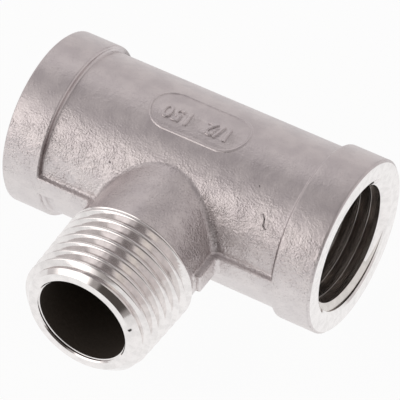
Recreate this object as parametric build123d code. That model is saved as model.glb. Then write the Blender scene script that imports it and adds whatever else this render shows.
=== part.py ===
from build123d import *

import math
import os

# Threaded pipe tee cast in one piece: a straight run with a female socket at each end
# and a side branch that ends in a male taper thread.
# Millimetres. The run lies along X and the branch leaves it along -Y.
# The origin is where the two axes cross, and +Z is square to the plane of the tee.

# Pipe thread of nominal size 1/2
thread_pitch = 25.4 / 14
thread_major_diameter = 20.955
thread_minor_diameter = thread_major_diameter - 1.28065 * thread_pitch
thread_taper = 1 / 16
gauge_length = 8.2

# Run, and the collars round its sockets
run_length = 52.6
body_diameter = 25.7
collar_rise = 0.9
collar_length = 6.5
collar_edge_round = min(0.35, 0.4 * collar_rise)
collar_foot_round = min(0.45, 0.5 * collar_rise)
collar_face_chamfer = 0.4

# Branch, and its neck's blend into the run
branch_reach = 33.4
neck_diameter = 19.7
neck_blend = 1.2

# Rib in the plane of the tee, flush with the collars and proud of the neck
rib_thickness = 3.3
rib_on_neck = 1.0
rib_end_gap = 1.6
rib_crotch_round = 0.8
rib_edge_round = min(0.3, 0.35 * collar_rise, 0.35 * rib_on_neck)
rib_foot_round = min(0.45, 0.5 * collar_rise, 0.5 * rib_on_neck)

# Male taper thread, cut right-handed into the branch's end
male_thread_length = 13.5
male_face_diameter = 17.5
shoulder_chamfer = 0.4
thread_depth = (thread_major_diameter - thread_minor_diameter) / 2
thread_flank_angle = 27.5
thread_root_width = thread_pitch / 6
thread_run_out = 1.3
thread_clearance = 0.4

# Where the first ridge stands on the branch's +X side, from the branch's end
first_ridge = 0.64

# Female sockets, bored to the crests of their threads
socket_depth = 14.0
mouth_diameter = 21.6
mouth_depth = 1.1

# Waterways
run_bore_diameter = 17.2
socket_step_length = 0.8
branch_bore_diameter = 14.4
branch_rim_chamfer = 0.25
bore_blend = 0.8

collar_diameter = body_diameter + 2 * collar_rise
half_run = run_length / 2
collar_middle = half_run - collar_length / 2
shoulder = branch_reach - male_thread_length

# How far an edge's middle may lie from where it is looked for
pick_margin = 0.1


def along_run(diameter, length, middle=0):
    return Pos(middle, 0, 0) * Rot(0, 90, 0) * Cylinder(diameter / 2, length)


def along_branch(diameter, reach):
    from_axis = (Align.CENTER, Align.CENTER, Align.MIN)
    return Rot(90, 0, 0) * Cylinder(diameter / 2, reach, align=from_axis)


def ring_edges(solid, diameter, low, high):
    """The round edges of one diameter between two stations along the run."""
    edges = solid.edges().filter_by(GeomType.CIRCLE).filter_by_position(Axis.X, low, high)
    return [edge for edge in edges if abs(2 * edge.radius - diameter) < pick_margin]


def edges_near(edges, axis, station):
    """The edges whose middles lie at one station along an axis."""
    return edges.filter_by_position(axis, station - pick_margin, station + pick_margin)


def edges_between_collars(edges):
    """The edges whose middles lie short of the collars' middles, where the rib's band ends."""
    inner = collar_middle - pick_margin
    return edges.filter_by_position(Axis.X, -inner, inner)


def collared_run():
    """A plain barrel with a raised collar round each end."""
    run = along_run(body_diameter, run_length)
    for side in (-1, 1):
        run += along_run(collar_diameter, collar_length, side * collar_middle)
    steps = ring_edges(run, collar_diameter, -collar_middle, collar_middle)
    run = fillet(steps, collar_edge_round)
    feet = ring_edges(run, body_diameter, -collar_middle, collar_middle)
    run = fillet(feet, collar_foot_round)
    rims = ring_edges(run, collar_diameter, collar_middle, run_length)
    rims += ring_edges(run, collar_diameter, -run_length, -collar_middle)
    return chamfer(rims, collar_face_chamfer)


def rib():
    """The rib's band along the run and up both sides of the neck, as one flat piece."""
    length = 2 * collar_middle
    from_axis = (Align.CENTER, Align.MAX, Align.CENTER)
    half_band = Box(length, collar_diameter, rib_thickness, align=from_axis)
    on_run = half_band & along_run(collar_diameter, length)
    reach = shoulder - rib_end_gap
    width = neck_diameter + 2 * rib_on_neck
    on_neck = Box(width, reach, rib_thickness, align=from_axis)
    band = on_run + on_neck
    crotches = new_edges(on_run, on_neck, combined=band).filter_by(GeomType.CIRCLE)
    band = fillet(crotches, rib_crotch_round)
    outer = band.edges().filter_by_position(Axis.Y, -shoulder, -body_diameter / 2)
    outer = edges_between_collars(outer)
    upper_edges = edges_near(outer, Axis.Z, rib_thickness / 2)
    lower_edges = edges_near(outer, Axis.Z, -rib_thickness / 2)
    tips = edges_near(outer.filter_by(Axis.Z), Axis.Y, -reach)
    return fillet(upper_edges + lower_edges + tips, rib_edge_round)


def ribbed_branch():
    """The neck blended into the run's barrel, with the rib rooted on both."""
    barrel = along_run(body_diameter, 2 * collar_middle)
    neck = along_branch(neck_diameter, shoulder)
    trunk = barrel + neck
    trunk = fillet(new_edges(barrel, neck, combined=trunk), neck_blend)
    band = rib()
    ribbed = trunk + band
    roots = new_edges(trunk, band, combined=ribbed)
    return fillet(edges_between_collars(roots), rib_foot_round)


def male_radius(from_end):
    """Crest radius of the taper thread, that far from the branch's end."""
    return thread_major_diameter / 2 + (from_end - gauge_length) * thread_taper / 2


def turned(points, axis):
    return revolve(make_face(Polyline(*points, close=True)), axis)


def thread_groove():
    """The male thread's groove, wound up the taper from just beyond the branch's end."""
    start = first_ridge - thread_pitch / 2
    climb = male_thread_length - thread_run_out - start
    lean = math.degrees(math.atan(thread_taper / 2))
    helix = Helix(thread_pitch, climb, male_radius(start), cone_angle=lean)
    root = thread_root_width / 2
    top = root + thread_depth * math.tan(math.radians(thread_flank_angle))
    outline = [
        (-thread_depth, -root),
        (0, -top),
        (thread_clearance, -top),
        (thread_clearance, top),
        (0, top),
        (-thread_depth, root),
    ]
    across = Plane(origin=helix @ 0, x_dir=(1, 0, 0), z_dir=helix % 0)
    section = across * make_face(Polyline(*outline, close=True))
    groove = sweep(section, path=helix, is_frenet=True)
    return Pos(0, start - branch_reach, 0) * Rot(-90, 0, 0) * groove


def male_end():
    """The threaded end, from its shoulder on the neck to the lead-in at the tip."""
    face = male_face_diameter / 2
    lead = (male_radius(0) - face) / (1 - thread_taper / 2)
    outline = [
        (0, -shoulder),
        (male_radius(male_thread_length) - shoulder_chamfer, -shoulder),
        (male_radius(male_thread_length), -shoulder - shoulder_chamfer),
        (face + lead, -branch_reach + lead),
        (face, -branch_reach),
        (0, -branch_reach),
    ]
    return turned(outline, Axis.Y) - thread_groove()


def socket(side):
    """One female socket's hollow: the mouth's countersink, the thread's bore and its step."""
    mouth = mouth_diameter / 2
    crest = thread_minor_diameter / 2
    run_bore = run_bore_diameter / 2
    outline = [
        (side * half_run, 0),
        (side * half_run, mouth),
        (side * (half_run - mouth_depth), crest),
        (side * (half_run - socket_depth), crest),
        (side * (half_run - socket_depth - socket_step_length), run_bore),
        (side * (half_run - socket_depth - socket_step_length), 0),
    ]
    return turned(outline, Axis.X)


def waterway():
    """The hollow that joins both sockets and the branch, blended where the bores meet."""
    run_bore = along_run(run_bore_diameter, run_length - 2 * socket_depth)
    branch_bore = along_branch(branch_bore_diameter, branch_reach)
    hollow = run_bore + branch_bore
    hollow = fillet(new_edges(run_bore, branch_bore, combined=hollow), bore_blend)
    rim = branch_bore_diameter / 2
    rim_outline = [
        (0, -branch_reach),
        (rim + branch_rim_chamfer, -branch_reach),
        (rim, -branch_reach + branch_rim_chamfer),
        (0, -branch_reach + branch_rim_chamfer),
    ]
    hollow += turned(rim_outline, Axis.Y)
    for side in (-1, 1):
        hollow += socket(side)
    return hollow


def tee():
    outside = collared_run() + ribbed_branch() + male_end()
    return outside - waterway()


os.makedirs("parts", exist_ok=True)
export_step(tee(), "parts/tee_body.step")
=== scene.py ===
import math

import bmesh
import bpy
from mathutils import Matrix, Vector


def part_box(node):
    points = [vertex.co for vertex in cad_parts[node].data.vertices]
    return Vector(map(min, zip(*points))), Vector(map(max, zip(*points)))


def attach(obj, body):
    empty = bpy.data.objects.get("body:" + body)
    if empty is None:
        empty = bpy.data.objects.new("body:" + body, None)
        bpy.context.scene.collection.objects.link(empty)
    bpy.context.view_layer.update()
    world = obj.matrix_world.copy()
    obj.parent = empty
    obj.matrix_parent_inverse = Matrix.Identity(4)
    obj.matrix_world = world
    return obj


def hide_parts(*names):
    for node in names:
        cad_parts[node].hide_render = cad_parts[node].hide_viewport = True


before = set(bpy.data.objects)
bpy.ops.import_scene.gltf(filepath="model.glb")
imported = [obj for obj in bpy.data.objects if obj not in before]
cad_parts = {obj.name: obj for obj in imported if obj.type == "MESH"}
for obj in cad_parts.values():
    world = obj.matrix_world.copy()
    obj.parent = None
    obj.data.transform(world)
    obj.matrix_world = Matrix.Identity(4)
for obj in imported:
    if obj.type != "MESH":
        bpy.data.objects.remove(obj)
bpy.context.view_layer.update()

# Everything is shaped in millimetres, with X along the run and the branch along -Y.
# The finished tee is scaled to metres once.
MM = 0.001

# How far a working tool or core runs on past the metal's end, and past a wall it meets
overshoot = 1.0
bite = 0.2

# How many flats stand for one full turn
turned_steps = 192
ridge_steps = 110

# The run and its collars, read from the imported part
tee_low, tee_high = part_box("tee_body")
half_run = tee_high[0] / MM
collar_radius = tee_high[2] / MM
branch_reach = -tee_low[1] / MM
collar_length = 6.5
collar_foot = half_run - collar_length
body_radius = 12.85
neck_foot_radius = 10.5
rib_top = 1.9

# Pipe thread of nominal size 1/2: 14 turns to the inch, flanks at 27.5 degrees
thread_pitch = 25.4 / 14
thread_depth = 0.640327 * thread_pitch
crest_flat = thread_pitch / 6
male_crest_round = 0.137329 * thread_pitch
bored_crest_round = 0.05
flank_slope = math.tan(math.radians(27.5))
thread_major_radius = 20.955 / 2
thread_minor_radius = thread_major_radius - thread_depth
gauge_length = 8.2
thread_taper = 1 / 32
foot_sink = 0.15

# The male end. The first ridge stands that far from the branch's end on the +X side.
male_length = 13.5
first_ridge = 0.64
male_face_radius = 8.75
male_washout = 1.3
land_length = 0.25
land_drop = 0.05
crest_margin = 0.02
shoulder_edge = 0.3
shoulder = branch_reach - male_length

# Where the casting's own male end is parted off, and what is left of it to join the new one to
parting_gap = 0.05
stub_length = 0.6
stub_radius = 9.0
parting_reach = 15.0

# The sockets
mouth_radius = 10.83
countersink_radius = 9.75
countersink_depth = 0.82
mouth_depth = 1.15
facing_cut = 0.03
socket_ridge_shift = 0.15
ridge_overrun = 0.7 * thread_pitch
mouth_tool_reach = 3.0
thread_run = 12.4
socket_depth = 14.0
socket_step = 0.8

# Small flaws, each a line between two places: scars in the cast skin, nicks in the branch's end
scar_width = 0.14
nick_width = 0.3
skin_scars = [
    ((15.7, -9.0, 9.2), (16.2, -9.4, 8.76)),
    ((16.2, -9.4, 8.76), (16.35, -10.05, 8.0)),
    ((16.35, -10.05, 8.0), (16.8, -10.25, 7.75)),
    ((-9.4, -10.3, 7.7), (-9.3, -10.3, 7.7)),
    ((3.2, -11.4, 5.9), (3.5, -11.5, 5.7)),
    ((13.4, -6.1, 11.3), (13.5, -6.2, 11.25)),
]
end_nicks = [((8.15, -33.35, 2.9), (8.35, -33.3, 3.05))]

# The waterway
run_bore_radius = 8.6
branch_bore_radius = 7.2
branch_rim_cut = 0.15
branch_rim_depth = 0.6
branch_rim_chamfer = 0.2

# The raised frame and figures on the barrel's top, placed along the run and across it
frame_place = (0.1, 0.3)
frame_straight = 8.6
frame_round = 3.7
frame_steps = 128
frame_section = [
    (-0.32, -0.1), (-0.3, 0), (-0.17, 0.09), (0, 0.13), (0.17, 0.09), (0.3, 0), (0.32, -0.1),
]
mark_size = 3.3
mark_height = 0.17
mark_bevel = 0.07
mark_swell = 0.03
raised_marks = [("1/2", 3.6), ("150", -3.3)]
marks_across = 1.0

# Edges of the machined faces sharper than this, in degrees, stay crisp
crisp_angle = 28

# The finishes' places in each mesh's list of materials
AS_CAST, MACHINED, SOCKET_THREAD, BORE = range(4)


# Shader maths

class Wire:
    """One output of a shader node. Arithmetic on it adds the Math nodes that work it out."""

    def __init__(self, shader, socket):
        self.shader = shader
        self.socket = socket

    def math(self, operation, *values):
        return self.shader.node("ShaderNodeMath", {"operation": operation}, dict(enumerate(values)))

    def __add__(self, other):
        return self.math("ADD", self, other)

    __radd__ = __add__

    def __sub__(self, other):
        return self.math("SUBTRACT", self, other)

    def __rsub__(self, other):
        return self.math("SUBTRACT", other, self)

    def __mul__(self, other):
        return self.math("MULTIPLY", self, other)

    __rmul__ = __mul__

    def __gt__(self, other):
        return self.math("GREATER_THAN", self, other)

    def __pow__(self, other):
        return self.math("POWER", self, other)

    def __abs__(self):
        return self.math("ABSOLUTE", self)

    def between(self, low, high):
        """0 below low and 1 above high, with a soft step from one to the other."""
        settings = {"interpolation_type": "SMOOTHSTEP"}
        return self.shader.node("ShaderNodeMapRange", settings, {0: self, 1: low, 2: high})


class Shader:
    """The node tree of one material or of the world."""

    def __init__(self, owner):
        owner.use_nodes = True
        self.tree = owner.node_tree
        self.tree.nodes.clear()

    def node(self, kind, settings=None, sockets=None, output=0):
        """A new node, with its settings made first and then its sockets set or linked."""
        node = self.tree.nodes.new(kind)
        for name, value in (settings or {}).items():
            setattr(node, name, value)
        for key, value in (sockets or {}).items():
            if isinstance(value, Wire):
                self.tree.links.new(value.socket, node.inputs[key])
            else:
                node.inputs[key].default_value = value
        return Wire(self, node.outputs[output]) if node.outputs else None

    def mix(self, factor, first, second):
        """One colour, or another where the factor is 1."""
        settings = {"data_type": "RGBA"}
        return self.node("ShaderNodeMix", settings, {0: factor, 6: first, 7: second}, output=2)

    def noise(self, place, scale, detail=2.0, roughness=0.5):
        sockets = {"Vector": place, "Scale": scale, "Detail": detail, "Roughness": roughness}
        return self.node("ShaderNodeTexNoise", {}, sockets)

    def vector(self, operation, sockets, output=0):
        return self.node("ShaderNodeVectorMath", {"operation": operation}, sockets, output)

    def parts(self, vector):
        """The three components of a vector."""
        split = self.node("ShaderNodeSeparateXYZ", {}, {0: vector})
        return [Wire(self, socket) for socket in split.socket.node.outputs]


def colour(red, green, blue):
    return (red, green, blue, 1.0)


# Materials

def millimetres(shader):
    """The place on the tee, in millimetres."""
    place = shader.node("ShaderNodeTexCoord", {}, {}, output=3)
    return shader.vector("SCALE", {0: place, "Scale": 1 / MM})


def finish(shader, base, roughness, height, strength, depth):
    """A metal surface with a relief of that depth."""
    sockets = {"Strength": strength, "Distance": depth * MM, "Height": height}
    relief = shader.node("ShaderNodeBump", {}, sockets)
    sockets = {"Base Color": base, "Metallic": 1.0, "Roughness": roughness, "Normal": relief}
    surface = shader.node("ShaderNodeBsdfPrincipled", {}, sockets)
    shader.node("ShaderNodeOutputMaterial", {}, {"Surface": surface})


def flaws(shader, place, lines, width):
    """1 in the middle of each short line, given by its two ends, and 0 beyond its width."""
    depth = 0.0
    for start, end in lines:
        span = Vector(end) - Vector(start)
        away = shader.vector("SUBTRACT", {0: place, 1: start})
        share = shader.vector("DOT_PRODUCT", {0: away, 1: span / span.length_squared}, output=1)
        held = shader.node("ShaderNodeClamp", {}, {0: share})
        nearest = shader.vector("SCALE", {0: span, "Scale": held})
        gap = shader.vector("DISTANCE", {0: away, 1: nearest}, output=1)
        depth = depth + (1 - gap.between(0.3 * width, width))
    return depth


def painted_crease_shade(x, y, z):
    """Painted shade in the creases: darker skin above the rib, at the collars' feet and where the
    neck meets the run.
    """
    at_foot = 1 - abs(abs(x) - collar_foot).between(0.12, 0.42)
    foot = at_foot * (1 - z.between(5.5, 10.0))
    from_branch = (x * x + z * z) ** 0.5
    at_neck = 1 - abs(from_branch - neck_foot_radius).between(0.2, 0.9)
    neck = at_neck * x.between(5.0, 8.0) * (1 - (y > -4.0))
    return (0.6 * foot + 0.4 * neck) * (z > rib_top)


def as_cast_steel():
    """The satin, faintly grainy skin left by the ceramic mould and a pickling bath."""
    material = bpy.data.materials.new("as_cast_steel")
    shader = Shader(material)
    place = millimetres(shader)
    x, y, z = shader.parts(place)

    # The grain is coarser in patches, and worn smoother over the top
    patches = shader.noise(place, 0.6, 1.0)
    coarse = (1 - 0.75 * z.between(7.0, 12.0)) * (0.6 + 0.55 * patches.between(0.35, 0.65))
    grain = shader.noise(place, 3.3)
    pits = (0.5 - shader.noise(place, 3.6, 3.0)).between(0.04, 0.17)
    scars = flaws(shader, place, skin_scars, scar_width)

    # The skin is mottled, and paler toward the underside: a painted reflection of the white table
    # below
    mottle = shader.noise(place, 0.35)
    painted_table_reflection = 1 - z.between(-3.0, 7.0)
    dull, pale = colour(0.65, 0.603, 0.608), colour(0.75, 0.7, 0.697)
    skin = shader.mix(mottle.between(0.3, 0.7), dull, pale)
    skin = shader.mix(0.45 * painted_table_reflection, skin, colour(0.9, 0.86, 0.85))
    skin = shader.mix(0.45 * pits * coarse * z.between(-2.0, 3.0), skin, colour(0.33, 0.29, 0.29))
    # Painted shade darkens the creases
    skin = shader.mix(painted_crease_shade(x, y, z), skin, colour(0.16, 0.13, 0.13))
    skin = shader.mix(0.6 * scars, skin, colour(0.1, 0.08, 0.08))
    finish(shader, skin, 0.34 + 0.12 * mottle, grain * coarse - scars, 1.0, 0.16)
    return material


def turned_grooves(shader, place):
    """Fine tool marks, round the run's axis at the sockets and round the branch's elsewhere."""
    x, y, z = shader.parts(place)
    at_socket = abs(x) > half_run - thread_run
    round_run = (y * y + z * z) ** 0.5
    round_branch = (x * x + z * z) ** 0.5
    radius = round_branch + at_socket * (round_run - round_branch)
    along = y + at_socket * (x - y)
    marks = shader.node("ShaderNodeCombineXYZ", {}, {0: radius, 1: along})
    return shader.noise(marks, 9.0)


def machined_steel(name, base, roughness):
    """Bright steel straight from the lathe."""
    material = bpy.data.materials.new(name)
    shader = Shader(material)
    place = millimetres(shader)
    mottle = shader.noise(place, 0.8)
    dull = colour(*(0.9 * part for part in base[:3]))
    tint = shader.mix(mottle.between(0.35, 0.7), base, dull)
    nicks = flaws(shader, place, end_nicks, nick_width)
    tint = shader.mix(nicks, tint, colour(0.02, 0.016, 0.014))
    finish(shader, tint, roughness + 0.06 * mottle, turned_grooves(shader, place), 0.3, 0.006)
    return material


def shaded_bore_steel():
    """The rough wall of the waterway, its dark base colour painted shade inside the bore."""
    material = bpy.data.materials.new("shaded_bore_steel")
    shader = Shader(material)
    place = millimetres(shader)
    grain = shader.noise(place, 2.5, 3.0)
    base = shader.mix(grain, colour(0.16, 0.135, 0.115), colour(0.24, 0.21, 0.18))
    finish(shader, base, 0.6, grain, 0.5, 0.08)
    return material


finishes = [
    as_cast_steel(),
    machined_steel("machined_steel", colour(0.9, 0.87, 0.86), 0.07),
    # The socket's threads are rougher, and their darker base colour is painted shade inside the
    # socket
    machined_steel("shaded_socket_thread_steel", colour(0.72, 0.68, 0.65), 0.16),
    shaded_bore_steel(),
]


# Solids

def shaped(name, mesh, finish_index):
    """A working object of that mesh, all in one finish."""
    for material in finishes:
        mesh.materials.append(material)
    for face in mesh.polygons:
        face.material_index = finish_index
    piece = bpy.data.objects.new(name, mesh)
    bpy.context.scene.collection.objects.link(piece)
    return piece


def outward_mesh(bm, name):
    """A mesh made from the bmesh, which is used up, with its faces turned outward."""
    bmesh.ops.recalc_face_normals(bm, faces=bm.faces)
    mesh = bpy.data.meshes.new(name)
    bm.to_mesh(mesh)
    bm.free()
    return mesh


def frozen(piece):
    """The piece with its modifiers made part of its mesh."""
    bpy.context.view_layer.update()
    evaluated = piece.evaluated_get(bpy.context.evaluated_depsgraph_get())
    mesh = bpy.data.meshes.new_from_object(evaluated)
    piece.modifiers.clear()
    piece.data = mesh
    return piece


def on_run(station, radius, angle):
    return (station, radius * math.cos(angle), radius * math.sin(angle))


def on_branch(station, radius, angle):
    return (radius * math.cos(angle), -station, radius * math.sin(angle))


def turned(name, outline, place, finish_index):
    """A solid of revolution from (station, radius) points that start and end on the axis."""
    bm = bmesh.new()
    rings = []
    for station, radius in outline:
        count = turned_steps if radius > 0 else 1
        angles = [2 * math.pi * n / turned_steps for n in range(count)]
        rings.append([bm.verts.new(place(station, radius, angle)) for angle in angles])
    for first, second in zip(rings, rings[1:]):
        for n in range(turned_steps):
            corners = [first[n % len(first)], first[(n + 1) % len(first)]]
            corners += [second[(n + 1) % len(second)], second[n % len(second)]]
            bm.faces.new(list(dict.fromkeys(corners)))
    return shaped(name, outward_mesh(bm, name), finish_index)


def bar(start, end, radius):
    """A plain round bar's outline between two stations."""
    return [(start, 0), (start, radius), (end, radius), (end, 0)]


def cut(body, tool, operation="DIFFERENCE"):
    """The body with the tool's solid taken away, joined on, or kept where both are."""
    modifier = body.modifiers.new("cut", "BOOLEAN")
    modifier.operation = operation
    modifier.solver = "MANIFOLD"
    modifier.object = tool
    frozen(body)
    bpy.data.objects.remove(tool)
    return body


# The thread's ridge, swept along its helix by Geometry Nodes

ridge_inputs = [
    "Pitch", "Turns", "Start Radius", "End Radius", "Foot Width", "Crest Width", "Ridge Height",
    "Crest Round", "Profile Turn",
]


def ridge_tree():
    """The tree: a section with rounded crests, swept along a helix that may taper."""
    tree = bpy.data.node_groups.new("thread_ridge", "GeometryNodeTree")
    for name in ridge_inputs:
        tree.interface.new_socket(name, in_out="INPUT", socket_type="NodeSocketFloat")
    tree.interface.new_socket("Material", in_out="INPUT", socket_type="NodeSocketMaterial")
    tree.interface.new_socket("Ridge", in_out="OUTPUT", socket_type="NodeSocketGeometry")

    def node(kind, settings=None, sockets=None):
        made = tree.nodes.new(kind)
        for name, value in (settings or {}).items():
            setattr(made, name, value)
        for key, value in (sockets or {}).items():
            if isinstance(value, bpy.types.NodeSocket):
                tree.links.new(value, made.inputs[key])
            else:
                made.inputs[key].default_value = value
        return made

    sizes = node("NodeGroupInput").outputs
    both = {0: sizes["Pitch"], 1: sizes["Turns"]}
    height = node("ShaderNodeMath", {"operation": "MULTIPLY"}, both)
    helix = node("GeometryNodeCurveSpiral", {}, {
        "Resolution": ridge_steps,
        "Rotations": sizes["Turns"],
        "Start Radius": sizes["Start Radius"],
        "End Radius": sizes["End Radius"],
        "Height": height.outputs[0],
        "Reverse": True,
    })
    upright = node("GeometryNodeSetCurveNormal", {"mode": "Z_UP"}, {"Curve": helix.outputs[0]})
    section = node("GeometryNodeCurvePrimitiveQuadrilateral", {"mode": "TRAPEZOID"}, {
        "Height": sizes["Ridge Height"],
        "Bottom Width": sizes["Foot Width"],
        "Top Width": sizes["Crest Width"],
        "Offset": 0.0,
    })
    rounded = node("GeometryNodeFilletCurve", {"mode": "POLY"}, {
        "Curve": section.outputs[0],
        "Count": 4,
        "Radius": sizes["Crest Round"],
        "Limit Radius": True,
    })
    turn = node("ShaderNodeCombineXYZ", {}, {"Z": sizes["Profile Turn"]})
    facing = node("GeometryNodeTransform", {}, {0: rounded.outputs[0], "Rotation": turn.outputs[0]})
    swept = node("GeometryNodeCurveToMesh", {}, {
        "Curve": upright.outputs[0],
        "Profile Curve": facing.outputs[0],
        "Fill Caps": True,
    })
    real = node("GeometryNodeRealizeInstances", {}, {0: swept.outputs[0]})
    steel = {0: real.outputs[0], "Material": sizes["Material"]}
    painted = node("GeometryNodeSetMaterial", {}, steel)
    node("NodeGroupOutput", {}, {0: painted.outputs[0]})
    return tree


def thread_ridge(name, tree, sizes, place, finish_index):
    """One thread's ridge round the Z axis, moved by the matrix to where it belongs."""
    piece = bpy.data.objects.new(name, bpy.data.meshes.new(name))
    bpy.context.scene.collection.objects.link(piece)
    modifier = piece.modifiers.new("ridge", "NODES")
    modifier.node_group = tree
    values = {**sizes, "Material": finishes[finish_index]}
    for item in tree.interface.items_tree:
        if item.name in values:
            modifier[item.identifier] = values[item.name]
    mesh = frozen(piece).data
    mesh.transform(place)
    bm = bmesh.new()
    bm.from_mesh(mesh)
    bmesh.ops.remove_doubles(bm, verts=bm.verts, dist=0.0001)
    bpy.data.objects.remove(piece)
    return shaped(name, outward_mesh(bm, name), finish_index)


def thread_sizes(start_radius, end_radius, turns, outward, crest_round):
    """The ridge's sizes from its crest's radius at each end, its foot sunk into the metal."""
    ridge_height = thread_depth + foot_sink
    return {
        "Pitch": thread_pitch,
        "Turns": turns,
        "Start Radius": start_radius - outward * ridge_height / 2,
        "End Radius": end_radius - outward * ridge_height / 2,
        "Foot Width": crest_flat + 2 * flank_slope * ridge_height,
        "Crest Width": crest_flat,
        "Ridge Height": ridge_height,
        "Crest Round": crest_round,
        "Profile Turn": -outward * math.pi / 2,
    }


# The tee, made as the real one is: cast, then turned and threaded

def cast_blank():
    """The casting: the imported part, its hollows filled and its branch cut off at the shoulder."""
    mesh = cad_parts["tee_body"].data.copy()
    bm = bmesh.new()
    bm.from_mesh(mesh)
    bmesh.ops.remove_doubles(bm, verts=bm.verts, dist=1e-7)
    bmesh.ops.scale(bm, vec=(1 / MM, 1 / MM, 1 / MM), verts=bm.verts)
    bm.to_mesh(mesh)
    bm.free()
    mesh.materials.clear()
    blank = shaped("casting", mesh, AS_CAST)
    run_plug = bar(-half_run - 0.5, half_run + 0.5, mouth_radius + bite)
    cut(blank, turned("run_plug", run_plug, on_run, AS_CAST), "UNION")
    branch_plug = bar(0, shoulder + 2, branch_bore_radius + 0.3)
    cut(blank, turned("branch_plug", branch_plug, on_branch, AS_CAST), "UNION")
    parting = [
        (shoulder + stub_length, 0),
        (shoulder + stub_length, stub_radius),
        (shoulder + parting_gap, stub_radius),
        (shoulder + parting_gap, parting_reach),
        (branch_reach + overshoot, parting_reach),
        (branch_reach + overshoot, 0),
    ]
    return cut(blank, turned("parting_tool", parting, on_branch, AS_CAST))


def on_skin(along, across, height):
    """A place over the barrel's top: along the run, across toward the branch, above the skin."""
    radius = body_radius + height
    angle = across / body_radius
    return Vector((along, -radius * math.sin(angle), radius * math.cos(angle)))


def frame_line():
    """The low raised line round the marks: a long frame with round ends, laid over the barrel."""
    bm = bmesh.new()
    rings = []
    for n in range(frame_steps):
        turn = 2 * math.pi * n / frame_steps
        out_along, out_across = math.cos(turn), math.sin(turn)
        middle = frame_place[0] + math.copysign(frame_straight / 2, out_along)
        ring = []
        for aside, height in frame_section:
            reach = frame_round + aside
            place = on_skin(middle + reach * out_along, frame_place[1] + reach * out_across, height)
            ring.append(bm.verts.new(place))
        rings.append(ring)
    for first, second in zip(rings, rings[1:] + rings[:1]):
        for n in range(len(first)):
            after = (n + 1) % len(first)
            bm.faces.new([first[n], first[after], second[after], second[n]])
    return shaped("frame_line", outward_mesh(bm, "frame_line"), AS_CAST)


def raised_mark(text, along, across):
    """Raised figures on the barrel's top, read from behind the run."""
    letters = bpy.data.curves.new("mark", "FONT")
    letters.body = text
    letters.size = mark_size
    letters.space_character = 1.05
    letters.align_x = "CENTER"
    letters.align_y = "CENTER"
    letters.extrude = mark_height
    letters.bevel_depth = mark_bevel
    letters.bevel_resolution = 1
    letters.offset = mark_swell
    piece = bpy.data.objects.new("mark", letters)
    bpy.context.scene.collection.objects.link(piece)
    mesh = bpy.data.meshes.new_from_object(piece)
    bpy.data.objects.remove(piece)
    bm = bmesh.new()
    bm.from_mesh(mesh)
    bmesh.ops.remove_doubles(bm, verts=bm.verts, dist=0.001)
    for vertex in bm.verts:
        x, y, z = vertex.co
        vertex.co = on_skin(along - x, across + y, z)
    return shaped("mark", outward_mesh(bm, "mark"), AS_CAST)


def male_crest_radius(from_end):
    return thread_major_radius + (from_end - gauge_length) * thread_taper


def male_end(tree):
    """The threaded end: a cone, the thread's ridge round it, and the outline that trims both."""
    root_at_tip = male_crest_radius(0) - thread_depth
    root_at_washout = male_crest_radius(male_length - male_washout) - thread_depth
    land = male_crest_radius(male_length) - land_drop
    core = [
        (shoulder - overshoot, 0),
        (shoulder - overshoot, land),
        (shoulder + land_length, land),
        (shoulder + male_washout, root_at_washout),
        (branch_reach + overshoot, root_at_tip),
        (branch_reach + overshoot, 0),
    ]
    end = turned("male_core", core, on_branch, MACHINED)

    # The ridge starts behind the shoulder, whole turns back from the first ridge's place
    overrun = thread_pitch + (first_ridge - male_length) % thread_pitch
    turns = math.ceil(male_length / thread_pitch) + 3
    back_radius = male_crest_radius(male_length + overrun)
    tip_radius = male_crest_radius(male_length + overrun - turns * thread_pitch)
    sizes = thread_sizes(back_radius, tip_radius, turns, 1, male_crest_round)
    along_branch = Matrix.Rotation(math.pi / 2, 4, "X")
    place = Matrix.Translation((0, -shoulder + overrun, 0)) @ along_branch
    cut(end, thread_ridge("male_ridge", tree, sizes, place, MACHINED), "UNION")

    tip = male_crest_radius(0) + crest_margin
    back = male_crest_radius(male_length) + crest_margin
    outline = [
        (shoulder - crest_margin, 0),
        (shoulder - crest_margin, back - shoulder_edge),
        (shoulder + shoulder_edge, back),
        (branch_reach - (tip - male_face_radius), tip),
        (branch_reach, male_face_radius),
        (branch_reach, 0),
    ]
    return cut(end, turned("male_outline", outline, on_branch, MACHINED), "INTERSECT")


def add_socket(body, tree, side):
    """One female socket: bored to the thread's roots, then the ridge, and the mouth turned last."""
    def on_side(station, radius, angle):
        return on_run(side * station, radius, angle)

    thread_end = half_run - thread_run
    floor = half_run - socket_depth
    bore = [
        (half_run + overshoot, 0),
        (half_run + overshoot, thread_major_radius),
        (thread_end, thread_major_radius),
        (thread_end - socket_step, thread_minor_radius),
        (floor, thread_minor_radius),
        (floor - socket_step, run_bore_radius),
        (floor - socket_step, 0),
    ]
    cut(body, turned("socket_bore", bore, on_side, SOCKET_THREAD))
    turns = (thread_run + ridge_overrun) / thread_pitch
    sizes = thread_sizes(thread_minor_radius, thread_minor_radius, turns, -1, bored_crest_round)
    start = (side * (thread_end + socket_ridge_shift), 0, 0)
    place = Matrix.Translation(start) @ Matrix.Rotation(side * math.pi / 2, 4, "Y")
    cut(body, thread_ridge("socket_ridge", tree, sizes, place, SOCKET_THREAD), "UNION")
    face = half_run - facing_cut
    mouth = [
        (half_run - mouth_depth, 0),
        (half_run - mouth_depth, thread_minor_radius - bite),
        (half_run - countersink_depth, countersink_radius),
        (face, mouth_radius),
        (face, collar_radius + 2),
        (half_run + mouth_tool_reach, collar_radius + 2),
        (half_run + mouth_tool_reach, 0),
    ]
    return cut(body, turned("mouth_tool", mouth, on_side, MACHINED))


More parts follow.
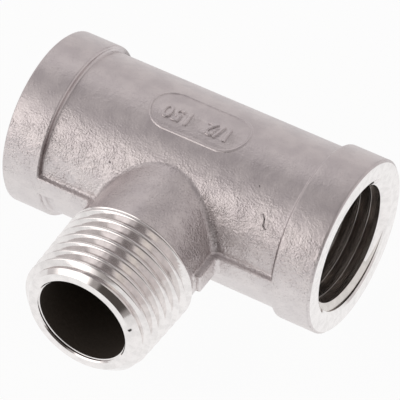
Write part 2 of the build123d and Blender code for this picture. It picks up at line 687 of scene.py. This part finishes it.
def waterway(body):
    """The run and the branch drilled through, and the small step turned inside the branch's rim."""
    cut(body, turned("run_drill", bar(-half_run, half_run, run_bore_radius), on_run, BORE))
    branch_bore = bar(0, branch_reach + overshoot, branch_bore_radius)
    cut(body, turned("branch_drill", branch_bore, on_branch, BORE))
    rim = branch_bore_radius + branch_rim_cut
    step = branch_reach - branch_rim_depth
    branch_rim = [
        (step, 0),
        (step, branch_bore_radius - bite),
        (step + branch_rim_cut, rim),
        (branch_reach - branch_rim_chamfer, rim),
        (branch_reach + overshoot, rim + branch_rim_chamfer + overshoot),
        (branch_reach + overshoot, 0),
    ]
    return cut(body, turned("branch_rim_tool", branch_rim, on_branch, MACHINED))


def shade(body):
    """Smooth shading, broken only along the machined faces' crisp edges."""
    bm = bmesh.new()
    bm.from_mesh(body.data)
    limit = math.radians(crisp_angle)
    for face in bm.faces:
        face.smooth = True
    for edge in bm.edges:
        cast = all(face.material_index == AS_CAST for face in edge.link_faces)
        edge.smooth = cast or edge.calc_face_angle(0) < limit
    bm.to_mesh(body.data)
    bm.free()
    even = body.modifiers.new("even", "WEIGHTED_NORMAL")
    even.mode = "FACE_AREA"
    even.keep_sharp = True
    frozen(body)


def finished_tee():
    tree = ridge_tree()
    body = cast_blank()
    cut(body, frame_line(), "UNION")
    for text, along in raised_marks:
        cut(body, raised_mark(text, along, marks_across), "UNION")
    cut(body, male_end(tree), "UNION")
    for side in (-1, 1):
        add_socket(body, tree, side)
    waterway(body)
    shade(body)
    body.name = "tee"
    body.data.name = "tee"
    body.data.transform(Matrix.Scale(MM, 4))
    return body


tee = finished_tee()
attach(tee, "root")
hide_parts("tee_body")


# The studio: a white table, a pale room and the camera

camera_azimuth = math.radians(30.171)
camera_elevation = math.radians(45.671)
camera_roll = math.radians(1.02)
camera_distance = 539.572
camera_shift = (-0.072, -2.905)
picture_width = 400
focal_pixels = 3640.83
sensor_width = 36
focal_length = focal_pixels / picture_width * sensor_width


def place_camera():
    """The photograph's camera, turned about the tee and rolled a little."""
    level = Vector((math.cos(camera_azimuth), math.sin(camera_azimuth), 0))
    away = Vector((math.sin(camera_azimuth), -math.cos(camera_azimuth), 0))
    back = away * math.cos(camera_elevation) + Vector((0, 0, math.sin(camera_elevation)))
    upright = back.cross(level)
    right = level * math.cos(camera_roll) + upright * math.sin(camera_roll)
    up = back.cross(right)
    eye = back * camera_distance + right * camera_shift[0] + up * camera_shift[1]
    data = bpy.data.cameras.new("camera")
    data.sensor_width = sensor_width
    data.lens = focal_length
    camera = bpy.data.objects.new("camera", data)
    turn = Matrix((right, up, back)).transposed().to_4x4()
    camera.matrix_world = Matrix.Translation(eye * MM) @ turn
    bpy.context.scene.collection.objects.link(camera)
    bpy.context.scene.camera = camera


def table():
    """The white table that the tee stands on, a little dimmer far off where the tee mirrors it: a
    painted reflection.
    """
    half_width = 1.2
    corners = [(-1, -1), (1, -1), (1, 1), (-1, 1)]
    bm = bmesh.new()
    bm.faces.new([bm.verts.new((x * half_width, y * half_width, tee_low[2])) for x, y in corners])
    mesh = bpy.data.meshes.new("table")
    bm.to_mesh(mesh)
    bm.free()
    material = bpy.data.materials.new("white_table")
    shader = Shader(material)
    rays = shader.node("ShaderNodeLightPath").socket.node.outputs
    kinds = ("Is Camera Ray", "Is Glossy Ray", "Is Transmission Ray")
    straight, mirrored, through = [Wire(shader, rays[kind]) for kind in kinds]
    from_tee = shader.vector("LENGTH", {0: millimetres(shader)}, output=1)
    painted_reflection_fade = 1 - 0.28 * from_tee.between(25.0, 140.0)
    seen = straight + painted_reflection_fade * (mirrored + through)
    paper = shader.node("ShaderNodeBsdfDiffuse", {}, {"Color": colour(0.85, 0.85, 0.84)})
    white = shader.node("ShaderNodeEmission", {}, {"Color": colour(1, 1, 1), "Strength": 1.0})
    surface = shader.node("ShaderNodeMixShader", {}, {0: 0.95 * seen, 1: paper, 2: white})
    shader.node("ShaderNodeOutputMaterial", {}, {"Surface": surface})
    mesh.materials.append(material)
    floor = bpy.data.objects.new("table", mesh)
    bpy.context.scene.collection.objects.link(floor)


# The walls and soft boxes round the tee, each laid over those before it, in degrees: how far
# its middle is turned from the branch's side toward +X, how far it is raised, how wide and
# how high it is, and how soft its edge is. The last value is its light.
walls = [
    (-80, 10, 130, 80, 15, colour(0.62, 0.59, 0.59)),
    (130, 22, 140, 90, 22, colour(0.68, 0.645, 0.645)),
    (85, 10, 70, 70, 15, colour(0.72, 0.68, 0.675)),
    (148, 44, 18, 20, 3, colour(0.78, 0.74, 0.7)),
    (20, 20, 90, 80, 12, colour(0.37, 0.345, 0.335)),
    (24, 23, 38, 36, 4, colour(0.075, 0.065, 0.06)),
    (0, 90, 720, 54, 8, colour(0.30, 0.28, 0.285)),
    (-36, 16, 48, 56, 6, colour(1.55, 1.48, 1.45)),
    (-134, 50, 34, 20, 3, colour(1.05, 1.01, 1.01)),
    (178, 56, 30, 20, 4, colour(0.24, 0.22, 0.22)),
]


def room():
    """The light: pale walls, darker behind the camera and overhead, and two soft boxes."""
    world = bpy.data.worlds.new("room")
    bpy.context.scene.world = world
    shader = Shader(world)
    direction = shader.node("ShaderNodeTexCoord", {}, {}, output=0)
    x, y, z = shader.parts(direction)
    turned_by = x.math("ARCTAN2", x, 0 - y) * math.degrees(1)
    raised_by = z.math("ARCSINE", z) * math.degrees(1)
    light = shader.mix(z.between(-0.1, 0.5), colour(0.85, 0.82, 0.81), colour(0.60, 0.57, 0.575))
    for turn, rise, width, height, edge, glow in walls:
        across = abs(turned_by.math("WRAP", turned_by - turn, 180.0, -180.0))
        upward = abs(raised_by - rise)
        outside_across = across.between(width / 2 - edge, width / 2 + edge)
        outside_upward = upward.between(height / 2 - edge, height / 2 + edge)
        light = shader.mix((1 - outside_across) * (1 - outside_upward), light, glow)
    background = shader.node("ShaderNodeBackground", {}, {"Color": light, "Strength": 1.0})
    shader.node("ShaderNodeOutputWorld", {}, {"Surface": background})


place_camera()
table()
room()
bpy.context.scene.view_settings.view_transform = "Standard"
